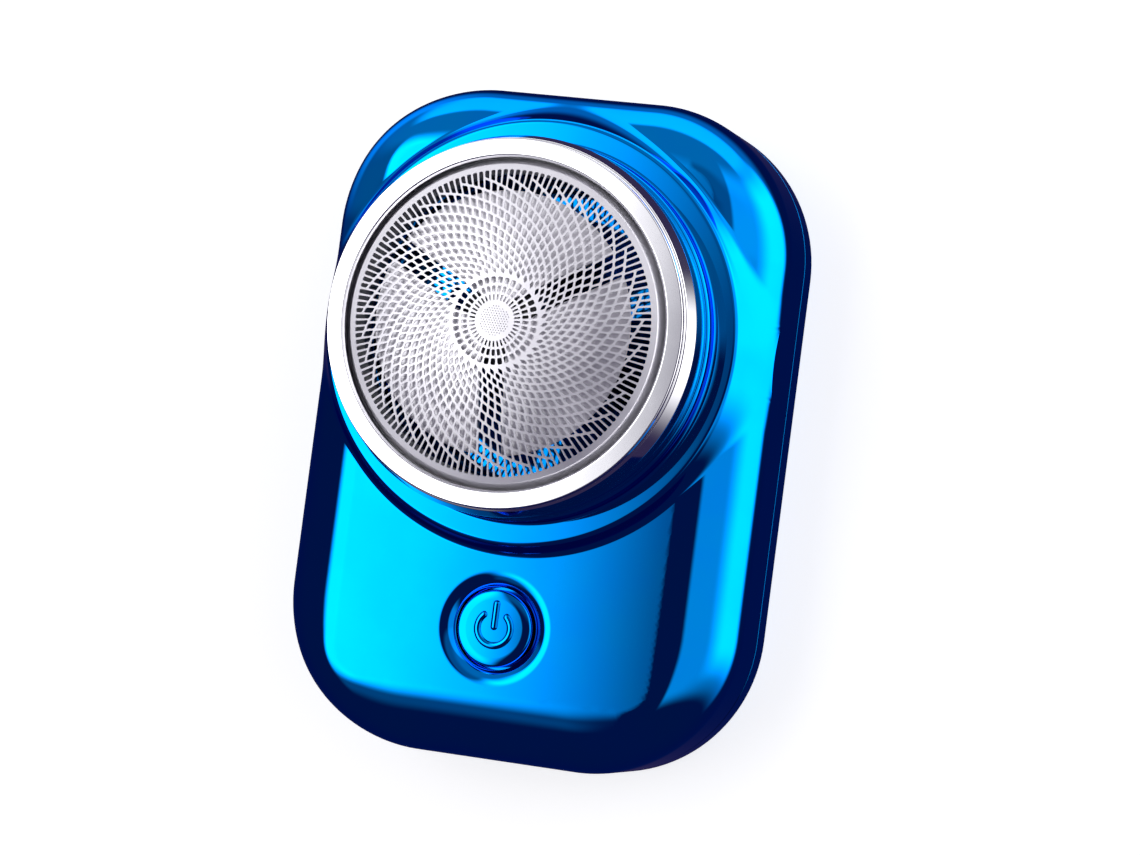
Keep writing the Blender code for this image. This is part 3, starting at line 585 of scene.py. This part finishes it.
def cut_end_openings(bm):
    """The charging socket's mouth and the light pipe's hole, through the bottom end's wall."""
    gap, round_r = 0.3, 0.22
    socket_at = ((SOCKET_LOW.x + SOCKET_HIGH.x) / 2, (SOCKET_LOW.z + SOCKET_HIGH.z) / 2)
    pipe_at = ((PIPE_LOW.x + PIPE_HIGH.x) / 2, (PIPE_LOW.z + PIPE_HIGH.z) / 2)
    socket_half = ((SOCKET_HIGH.x - SOCKET_LOW.x) / 2 + gap, (SOCKET_HIGH.z - SOCKET_LOW.z) / 2 + gap)
    pipe_half = ((PIPE_HIGH.x - PIPE_LOW.x) / 2 + 0.1,) * 2
    openings = ((socket_half, socket_at), (pipe_half, pipe_at))

    margin = round_r + 0.15
    left, right = socket_at[0] - socket_half[0] - margin, pipe_at[0] + pipe_half[0] + margin
    low, high = socket_at[1] - socket_half[1] - margin, socket_at[1] + socket_half[1] + margin

    def doomed(y):
        def test(face):
            if abs(face.calc_center_median().y - y) > 0.2:
                return False
            return any(left < v.co.x < right and low < v.co.z < high for v in face.verts)
        return test

    outer_y, inner_y = -HALF_L, -HALF_L + WALL
    rims = new_loops(bm, [xz_loop(half[0] + round_r, half[1] + round_r, at, outer_y)
                          for half, at in openings])
    refill(bm, doomed(outer_y), rims, axes=(0, 2))
    lasts = []
    for rim, (half, at) in zip(rims, openings):
        loops = []
        for i in range(1, 5):
            turn = math.radians(90 * i / 4)
            grown = round_r * (1 - math.sin(turn))
            loops.append(xz_loop(half[0] + grown, half[1] + grown, at,
                                 outer_y + round_r * (1 - math.cos(turn))))
        loops.append(xz_loop(half[0], half[1], at, inner_y))
        lasts.append(loft(bm, loops, rim)[-1])
    refill(bm, doomed(inner_y), lasts, axes=(0, 2))


def make_front_shell(rays=576):
    sections = [front_section(2 * math.pi * (i + 0.5) / rays) for i in range(rays)]
    bm = grid_bmesh(sections)
    cut_button_bowl(bm)
    cut_end_openings(bm)
    add_piece("front_shell_look", bmesh_to_mesh("front_shell_look", bm), "plated_blue", "housing",
              ["front_shell"])


def outline_loop(inset, z, per_corner=28, per_side=12):
    """The body's outline, or a line inside it, with the same number of points at any inset."""
    radius = CORNER_R - inset
    centre_x, centre_y = HALF_W - CORNER_R, HALF_L - CORNER_R
    corners = []
    for quarter, (sx, sy) in enumerate(((1, 1), (-1, 1), (-1, -1), (1, -1))):
        corners.append([(sx * centre_x + radius * math.cos(a), sy * centre_y + radius * math.sin(a), z)
                        for a in (math.radians(90 * quarter + 90 * i / per_corner)
                                  for i in range(per_corner + 1))])
    points = []
    for corner, following in zip(corners, corners[1:] + corners[:1]):
        points += corner
        a, b = Vector(corner[-1]), Vector(following[0])
        points += [tuple(a.lerp(b, i / per_side)) for i in range(1, per_side)]
    return points


def make_rear_shell():
    """The plated back: round lower edge, four screw wells, a blank sunken rating field, and inside
    it the tongue and the screw pillars."""
    bm = bmesh.new()
    tongue, tongue_in, tongue_z, floor_z, edge, lip = 1.9, 2.8, 5.4, 1.5, 1.3, 0.02
    section = [(tongue_in, floor_z), (tongue_in, tongue_z), (tongue, tongue_z), (tongue, REAR_TOP_Z),
               (lip, REAR_TOP_Z), (0, REAR_TOP_Z - lip), (0, REAR_TOP_Z - 0.2), (0, edge + 0.1)]
    section += [(edge - r, edge + z) for r, z in arc(0, 0, edge, 0, -90, 10)]
    section += [(edge + 0.06, 0.0), (edge + 1.2, 0.0)]
    made = loft(bm, [outline_loop(inset, z) for inset, z in section])
    floor_holes, base_holes = [], []
    well_r, well_z, hole_r, pillar_r, pillar_z = 2.2, 1.75, 1.3, 2.6, 4.4
    for place in SCREW_CENTRES:
        well = [(well_r + 0.3, 0.0)] + arc(well_r + 0.25, 0.25, 0.25, 270, 180, 5)
        well += [(well_r, well_z), (hole_r, well_z), (hole_r, pillar_z), (pillar_r, pillar_z),
                 (pillar_r, floor_z)]
        loops = loft(bm, [circle(r, z, 48, place) for r, z in well])
        base_holes.append(loops[0])
        floor_holes.append(loops[-1])
    field_w, field_l, field_r, field_depth, field_y = 11.5, 7.5, 2.0, 0.2, -14.0

    def field(inset, z, steps=8):
        points = []
        for quarter, (sx, sy) in enumerate(((1, 1), (-1, 1), (-1, -1), (1, -1))):
            for i in range(steps + 1):
                a = math.radians(90 * quarter + 90 * i / steps)
                points.append((sx * (field_w - field_r) + (field_r - inset) * math.cos(a),
                               field_y + sy * (field_l - field_r) + (field_r - inset) * math.sin(a), z))
        return points

    loops = loft(bm, [field(-0.1, 0), field(0, 0.03), field(0.12, field_depth), field(0.2, field_depth)])
    base_holes.append(loops[0])
    fill_flat(bm, [made[0]], floor_holes)
    fill_flat(bm, [made[-1]], base_holes)
    fill_flat(bm, [loops[-1]], [])
    add_piece("rear_shell_look", bmesh_to_mesh("rear_shell_look", bm), "plated_blue", "housing",
              ["rear_shell"])


# ---------------------------------------------------------------- the head
def make_ring():
    """The bezel: a nearly flat bright face, a dark groove, a round shoulder and a straight skirt."""
    base_r, base_z, spigot_r, spigot_z = 18.8, 21.4, 17.3, 19.2
    crown = RING_HIGH.z
    profile = [(16.3, 26.7, 0), (16.3, crown - 0.3, 0.1), (16.5, crown, 0.16), (18.05, crown, 0.1),
               (18.1, crown - 0.4, 0.1), (18.12, 27.2, 0.06), (18.3, 27.14, 0.1), (base_r, 25.35, 0.7),
               (base_r, base_z + 0.5, 0), (base_r - 0.12, base_z, 0.15), (spigot_r, base_z, 0.1),
               (spigot_r, spigot_z, 0.2), (16.2, spigot_z, 0.2), (16.2, 22.0, 0), (17.15, 22.3, 0),
               (17.15, 26.7, 0)]
    turned("head_ring_look", rounded(profile, 10), "chrome", "head", ["head_ring"], steps=256)


ARMS = 37                   # spiral arms of the foil
SECTOR = 2 * math.pi / ARMS
SPREAD, GROWTH = 2.29, 0.345    # arm slope dr/dangle = SPREAD + GROWTH * r
SHEET_R, SLOT_TOP_R, ARM_TOP_R = 15.3, 15.02, 14.3
INNER_R, BOSS_R = 4.35, 1.75     # the arms end at rings of radial slots round the boss


def arm_angle(radius):
    return math.log(SPREAD + GROWTH * radius) / GROWTH


def arm_radius(angle):
    return (math.exp(GROWTH * angle) - SPREAD) / GROWTH


def polar(radius, angle):
    return Vector((radius * math.cos(angle), radius * math.sin(angle)))


def soft_corners(corners, cut):
    """A polygon's corners, each cut off by two points beside it and one nearly on it."""
    points = []
    for i, here in enumerate(corners):
        back, ahead = corners[i - 1] - here, corners[(i + 1) % len(corners)] - here
        a, b = here + back.normalized() * cut, here + ahead.normalized() * cut
        points += [a, (a + b) * 0.36 + here * 0.28, b]
    return points


def slot_outline(angle, half_width, top, bottom):
    """A slot between two radii given at both its sides: (at the low angle, at the high angle)."""
    corners = []
    for radius, side in ((top[0], -1), (top[1], 1), (bottom[1], 1), (bottom[0], -1)):
        corners.append(polar(radius, angle + side * half_width / radius))
    return soft_corners(corners, min(0.13, half_width * 0.5))


def foil_tile():
    """The outline and the slots of one of the foil's equal sectors, as points in the plan."""
    bar = 0.115             # half of the metal left between neighbouring slots
    start = arm_angle(ARM_TOP_R)
    slots = []
    rim_slots = 4
    for i in range(rim_slots):
        angle = start + SECTOR * (i + 0.5) / rim_slots
        half = SLOT_TOP_R * SECTOR / rim_slots / 2 - bar * 0.95
        low = [arm_radius(angle + s * half / ARM_TOP_R - SECTOR) + bar for s in (-1, 1)]
        slots.append(slot_outline(angle, half, (SLOT_TOP_R, SLOT_TOP_R), low))
    angle, radius = start, ARM_TOP_R
    while True:
        pitch = 0.46 + 0.25 * min(1.0, (radius - 1.5) / 7.0)
        angle -= pitch / 2 / radius
        outer, inner = arm_radius(angle), arm_radius(angle - SECTOR)
        radius = (outer + inner) / 2
        if inner < INNER_R:
            break
        half = pitch / 2 - bar * 0.9
        sides = [angle + s * half / radius for s in (-1, 1)]
        top = [arm_radius(a) - bar for a in sides]
        bottom = [arm_radius(a - SECTOR) + bar for a in sides]
        if min(top) - max(bottom) > 0.1:
            slots.append(slot_outline(angle, half, top, bottom))
        angle -= pitch / 2 / radius
    low_angle = arm_angle(INNER_R)
    for low, high in ((1.98, 2.58), (2.80, 3.42), (3.66, 4.30)):
        half = (low + high) / 2 * SECTOR / 2 - bar * 0.9
        slots.append(slot_outline(low_angle + SECTOR / 2, half, (high, high), (low, low)))
    arm = [polar(r, arm_angle(r)) for r in np.linspace(ARM_TOP_R, INNER_R, 40)]
    arm.append(polar(BOSS_R, low_angle))
    turn = Matrix.Rotation(SECTOR, 2)
    outline = [polar(SHEET_R, start), polar(ARM_TOP_R + 0.35, start)] + arm
    outline += [polar(BOSS_R, low_angle + SECTOR / 2)]
    outline += [turn @ p for p in reversed(arm)] + [turn @ polar(ARM_TOP_R + 0.35, start)]
    outline += [polar(SHEET_R, start + SECTOR * i / 8) for i in range(8, 0, -1)]
    return outline[::-1], slots


def boss_tile():
    """The foil's centre disc with its fine hexagonal field of holes."""
    outline = [polar(BOSS_R, arm_angle(INNER_R) + SECTOR * i / 2) for i in range(2 * ARMS)]
    pitch, hole = 0.27, 0.062
    holes = []
    for row in range(-6, 7):
        for column in range(-7, 8):
            centre = Vector(((column + 0.5 * (row % 2)) * pitch, row * pitch * math.sqrt(0.75)))
            if centre.length < BOSS_R - 0.3:
                holes.append([centre + polar(hole, math.pi * k / 4) for k in range(8)])
    return outline, holes


def fill_sheet(outline, holes, inner_points=()):
    """Triangles of a flat sheet with holes: (points, triangles, hole loops as point numbers)."""
    points, faces = list(outline), [list(range(len(outline)))]
    for hole in holes:
        faces.append(list(range(len(points), len(points) + len(hole))))
        points += hole
    points += list(inner_points)
    found = delaunay_2d_cdt(points, [], faces, 1, 1e-6)
    triangles = [tuple(tri) for tri, owners in zip(found[2], found[5])
                 if 0 in owners and len(owners) == 1]
    place = {}
    for new, olds in enumerate(found[3]):
        for old in olds:
            place[old] = new
    loops = [[place[i] for i in face] for face in faces[1:]]
    return found[0], triangles, loops


def sheet_bmesh(tiles, thickness, ball):
    """Domed sheet from flat tiles: each is (points, triangles, hole loops, angles of its copies)."""
    bm = bmesh.new()

    def place(point, radius):
        flat = min(point.length / ball, 1.0)
        z = math.sqrt(1 - flat ** 2)
        return Vector((point.x / ball * radius, point.y / ball * radius, BALL_Z + z * radius))

    for points, triangles, loops, angles in tiles:
        for angle in angles:
            turn = Matrix.Rotation(angle, 2)
            flat = [turn @ p for p in points]
            top = [bm.verts.new(place(p, ball)) for p in flat]
            low = [bm.verts.new(place(p, ball - thickness)) for p in flat]
            for a, b, c in triangles:
                bm.faces.new((top[a], top[b], top[c]))
                bm.faces.new((low[c], low[b], low[a]))
            for loop in loops:
                for i, j in zip(loop, loop[1:] + loop[:1]):
                    bm.faces.new((top[i], top[j], low[j], low[i]))
    bmesh.ops.remove_doubles(bm, verts=bm.verts, dist=0.003)
    return bm


def make_foil():
    """The foil: a thin dome pierced by 37 equal spiral arms of slots, with a rolled flange."""
    thickness = 0.12
    outline, slots = foil_tile()
    tiles = [(*fill_sheet(outline, slots), [SECTOR * i for i in range(ARMS)])]
    outline, holes = boss_tile()
    tiles.append((*fill_sheet(outline, holes), [0.0]))
    bm = sheet_bmesh(tiles, thickness, FOIL_BALL)
    steps = ARMS * 8
    edge = math.asin(SHEET_R / FOIL_BALL)

    def on_dome(turn, ball):
        return (ball * math.sin(turn), BALL_Z + ball * math.cos(turn))

    inner_ball = FOIL_BALL - thickness
    flange = [on_dome(edge, FOIL_BALL), on_dome(edge + 0.006, FOIL_BALL)]
    flange += [(15.46, 28.04), (15.6, 27.9), (15.75, 27.62), (15.9, 27.3), (16.04, 26.97),
               (16.12, 26.7), (16.2, 26.48), (16.4, 26.4), (16.8, 26.4), (16.84, 26.34),
               (16.84, 26.2), (16.8, 26.14), (16.1, 26.18), (15.98, 26.5), (15.86, 26.97),
               (15.72, 27.3), (15.58, 27.62), (15.45, 27.8)]
    flange += [on_dome(edge + 0.004, inner_ball), on_dome(edge, inner_ball)]
    first = arm_angle(ARM_TOP_R)
    rows = []
    for i in range(steps):
        c, s = math.cos(first + 2 * math.pi * i / steps), math.sin(first + 2 * math.pi * i / steps)
        rows.append([bm.verts.new((r * c, r * s, z)) for r, z in flange])
    for i in range(steps):
        a, b = rows[i], rows[(i + 1) % steps]
        for j in range(len(flange) - 1):
            bm.faces.new((a[j], a[j + 1], b[j + 1], b[j]))
    bmesh.ops.remove_doubles(bm, verts=bm.verts, dist=0.003)
    add_piece("foil_look", bmesh_to_mesh("foil_look", bm), "foil_steel", "foil_unit", ["foil"], HEAD,
              sharp=40)


def make_cutter():
    """The inner cutter: a thin dome in three petals, with a lip at each cutting edge."""
    reach, hub, half_gap, ball, thickness = 13.0, 2.0, 1.2, FOIL_BALL - 0.65, 0.6
    first_gap = math.radians(32)
    outline = []
    for i in range(3):
        gap = first_gap + i * 2 * math.pi / 3
        following = gap + 2 * math.pi / 3
        turn = Matrix.Rotation(gap, 2)
        edge = math.asin(half_gap / reach)
        for r in np.linspace(math.sqrt(hub ** 2 + half_gap ** 2), reach, 12)[:-1]:
            along = math.sqrt(r * r - half_gap ** 2)
            outline.append(turn @ Vector((along, half_gap)))
        outline += [polar(reach, a) for a in np.linspace(gap + edge, following - edge, 36)]
        turn = Matrix.Rotation(following, 2)
        for r in np.linspace(reach, math.sqrt(hub ** 2 + half_gap ** 2), 12)[1:]:
            along = math.sqrt(r * r - half_gap ** 2)
            outline.append(turn @ Vector((along, -half_gap)))
    inner = [Vector((0, 0))]
    for r in np.arange(1.0, reach - 0.6, 1.0):
        count = int(2 * math.pi * r / 1.0)
        for k in range(count):
            a = 2 * math.pi * (k + 0.5 * (int(r) % 2)) / count
            off = [abs(r * math.sin(a - first_gap - i * 2 * math.pi / 3))
                   for i in range(3) if math.cos(a - first_gap - i * 2 * math.pi / 3) > 0]
            if r < hub - 0.5 or min(off, default=9) > half_gap + 0.4:
                inner.append(polar(r, a))
    points, triangles, _ = fill_sheet(outline, [], inner)
    rim = [list(range(len(outline)))]
    bm = sheet_bmesh([(points, triangles, rim, [0.0])], thickness, ball)
    piece = add_piece("inner_cutter_look", bmesh_to_mesh("inner_cutter_look", bm), "cutter_steel",
                      "cutter", ["inner_cutter"], HEAD)
    bevel = piece.modifiers.new("lip", "BEVEL")
    bevel.width = 0.06 * MM
    bevel.segments = 2
    bevel.limit_method = "ANGLE"
    bevel.angle_limit = math.radians(50)


# ---------------------------------------------------------------- the button
def ridge(bm, path, half_width, height, base_z, across=9):
    """A raised rounded line on a flat top, with round ends."""
    path = [Vector((*p, 0)) for p in path]
    sections = []
    count = len(path)
    lengths = [0.0]
    for a, b in zip(path, path[1:]):
        lengths.append(lengths[-1] + (b - a).length)
    for i, point in enumerate(path):
        along = (path[min(i + 1, count - 1)] - path[max(i - 1, 0)]).normalized()
        side = Vector((-along.y, along.x, 0))
        to_end = min(lengths[i], lengths[-1] - lengths[i], half_width)
        swell = math.sqrt(max(1 - (1 - to_end / half_width) ** 2, 0.0004))
        section = []
        for k in range(across):
            turn = math.pi * k / (across - 1)
            section.append(point + side * (half_width * swell * math.cos(turn))
                           + Vector((0, 0, base_z + height * swell * math.sin(turn) ** 0.8)))
        section.append(Vector((*point.xy, base_z - 0.1)))
        sections.append(section)
    made = [[bm.verts.new(p) for p in section] for section in sections]
    for a, b in zip(made, made[1:]):
        for k in range(len(a)):
            n = (k + 1) % len(a)
            bm.faces.new((a[k], a[n], b[n], b[k]))
    bm.faces.new(made[0])
    bm.faces.new(made[-1][::-1])


def make_button():
    """The plated cap with its raised power symbol."""
    top = BUTTON_HIGH.z
    face_z, crown_r = top - 0.24, 240.0
    profile = [(r, face_z - r * r / crown_r / 2, 0) for r in (0, 0.6, 1.2, 1.8, 2.4, 2.9, 3.3)]
    profile += [(BUTTON_R - 0.12, face_z - 0.09, 0.25), (BUTTON_R, face_z - 0.42, 0.12),
                (BUTTON_R, 15.5, 0), (5.0, 15.5, 0.1), (5.0, 14.9, 0.1), (1.0, 14.9, 0),
                (1.0, 14.2, 0.1), (0, 14.2, 0)]
    bm = turned_bmesh(rounded(profile, 8), 128, closed=False)
    symbol_r, half_width, height, symbol_z = 1.72, 0.37, 0.22, face_z - 0.02
    opening = math.radians(31)
    bow = [polar(symbol_r, math.pi / 2 + opening + (2 * math.pi - 2 * opening) * i / 96)
           for i in range(97)]
    ridge(bm, bow, half_width, height, symbol_z)
    ridge(bm, [Vector((0, -0.2 + 3.05 * i / 60)) for i in range(61)], half_width, height + 0.02,
          symbol_z)
    add_piece("power_button_look", bmesh_to_mesh("power_button_look", bm), "plated_blue", "button",
              ["power_button"], BUTTON)


# ---------------------------------------------------------------- CAD pieces that stay
def dress_cad_nodes():
    """Procedural looks, fine bevels and smooth shading for the frame's own pieces."""
    slots = {row["node"]: row["material_slot"] for row in frame["record"]["subparts"]}
    soft = {"cutter_spring", "battery_lead_red", "battery_lead_black", "motor_lead_red",
            "motor_lead_black"}
    for name, node in frame["nodes"].items():
        if node.hide_render:
            continue
        node.data.materials.clear()
        node.data.materials.append(LOOKS[slots[name]])
        node.data.shade_smooth()
        node.data.set_sharp_from_angle(angle=math.radians(40))
        if name not in soft:
            bevel = node.modifiers.new("edges", "BEVEL")
            bevel.width = 0.07 * MM
            bevel.segments = 2
            bevel.limit_method = "ANGLE"
            bevel.angle_limit = math.radians(40)
            bevel.harden_normals = True
    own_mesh(frame["nodes"]["cutter_spring"])


# ---------------------------------------------------------------- stage
def make_floor():
    mesh = bpy.data.meshes.new("floor")
    bm = bmesh.new()
    bmesh.ops.create_circle(bm, cap_ends=True, radius=4.0, segments=96)
    bm.to_mesh(mesh)
    bm.free()
    material, tree, where, shader = new_material("floor")
    cloud = tree.noise(where, 0.002, 3)
    set_shader(tree, shader, Base_Color=tree.mix(cloud, (0.42, 0.42, 0.42), (0.46, 0.46, 0.455)),
               Roughness=tree.ramp(cloud, 0.3, 0.7, 0.85, 0.95))
    shader.inputs["Specular IOR Level"].default_value = 0.2
    shader.inputs["Emission Color"].default_value = (1.0, 1.0, 1.0, 1.0)
    shader.inputs["Emission Strength"].default_value = 0.76
    mesh.materials.append(material)
    floor = bpy.data.objects.new("floor", mesh)
    floor.location.z = -0.05 * MM        # clear of the part's base
    floor.visible_glossy = False
    bpy.context.scene.collection.objects.link(floor)


def make_world():
    """A soft studio round the object, seen only in reflections: a tall soft box up and to the left, a
    wide one on the right that runs past the horizon, weak lights low at the head end, and violet dusk
    in between. The camera itself sees white."""
    world = bpy.data.worlds.new("studio")
    world.use_nodes = True
    tree = Tree(world.node_tree)
    way = tree.node("ShaderNodeTexCoord").outputs["Generated"]
    x, y, z = tree.node("ShaderNodeSeparateXYZ", {"Vector": way}).outputs
    across = tree.math("DEGREES", tree.math("ARCTAN2", x, z))    # from +Z towards +X
    along = tree.math("DEGREES", tree.math("ARCSINE", y))
    key_side = tree.product(tree.ramp(across, -47, -35), tree.ramp(across, -21, -13, 1.0, 0.0))
    left_end = tree.product(tree.ramp(x, -0.3, -0.6), tree.ramp(y, 0.1, 0.35))
    near_horizon = (-0.75, -0.55)
    boxes = [
        (key_side, tree.band(along, -18, 24, 12, 14), 3.9),                               # the key
        (key_side, tree.band(along, -42, -20, 8), 0.2),                                   # its foot
        (tree.band(across, 27, 138, 4, 5), tree.band(along, -22, 46, 9, 14), 0.95),       # right, wide
        (tree.band(across, 84, 134, 18, 6), tree.band(along, -12, 44, 8, 14), 2.4),       # right, low
        (tree.ramp(along, 2, 9), tree.ramp(z, *near_horizon), 0.28),                      # head end
        (tree.ramp(along, 16, 34), tree.ramp(z, *near_horizon), 0.25),
        (tree.ramp(along, 45, 60), tree.band(z, -0.42, 0.16, 0.06), 1.6),
        (left_end, tree.band(z, -0.70, -0.34, 0.10), 0.8),
    ]
    light = 0.012
    for one_way, other_way, strength in boxes:
        light = tree.math("ADD", light, tree.product(tree.product(one_way, other_way), strength))
    dusk = tree.node("ShaderNodeBackground", {"Color": (0.28, 0.17, 0.85, 1.0), "Strength": 0.08})
    lamps = tree.node("ShaderNodeBackground", {"Color": (1.0, 1.0, 1.0, 1.0), "Strength": light})
    studio = tree.node("ShaderNodeAddShader")
    tree.put(studio.inputs[0], dusk.outputs[0])
    tree.put(studio.inputs[1], lamps.outputs[0])
    pale = tree.node("ShaderNodeBackground", {"Color": (1.0, 1.0, 1.0, 1.0), "Strength": 1.0})
    seen = tree.node("ShaderNodeLightPath").outputs["Is Camera Ray"]
    mixed = tree.node("ShaderNodeMixShader", {0: seen})
    tree.put(mixed.inputs[1], studio.outputs[0])
    tree.put(mixed.inputs[2], pale.outputs[0])
    output = tree.node("ShaderNodeOutputWorld")
    tree.put(output.inputs["Surface"], mixed.outputs[0])
    bpy.context.scene.world = world


def make_camera():
    """The photograph's viewing angle, from a perspective fit to the body's outline and circles."""
    right = Vector((0.9531, 0.1296, -0.2734))
    up = Vector((-0.1144, 0.9909, 0.0706))
    back = Vector((0.2800, -0.0360, 0.9593))
    place = Vector((103.02, -12.39, 352.93)) * MM
    data = bpy.data.cameras.new("camera")
    data.sensor_width = 36.0
    data.lens = 111.0
    camera = bpy.data.objects.new("camera", data)
    bpy.context.scene.collection.objects.link(camera)
    camera.matrix_world = Matrix.Translation(place) @ Matrix((right, up, back)).transposed().to_4x4()
    bpy.context.scene.camera = camera


make_front_shell()
make_rear_shell()
make_ring()
make_foil()
make_cutter()
make_button()
dress_cad_nodes()
make_floor()
make_world()
make_camera()
bpy.context.scene.view_settings.view_transform = "Standard"
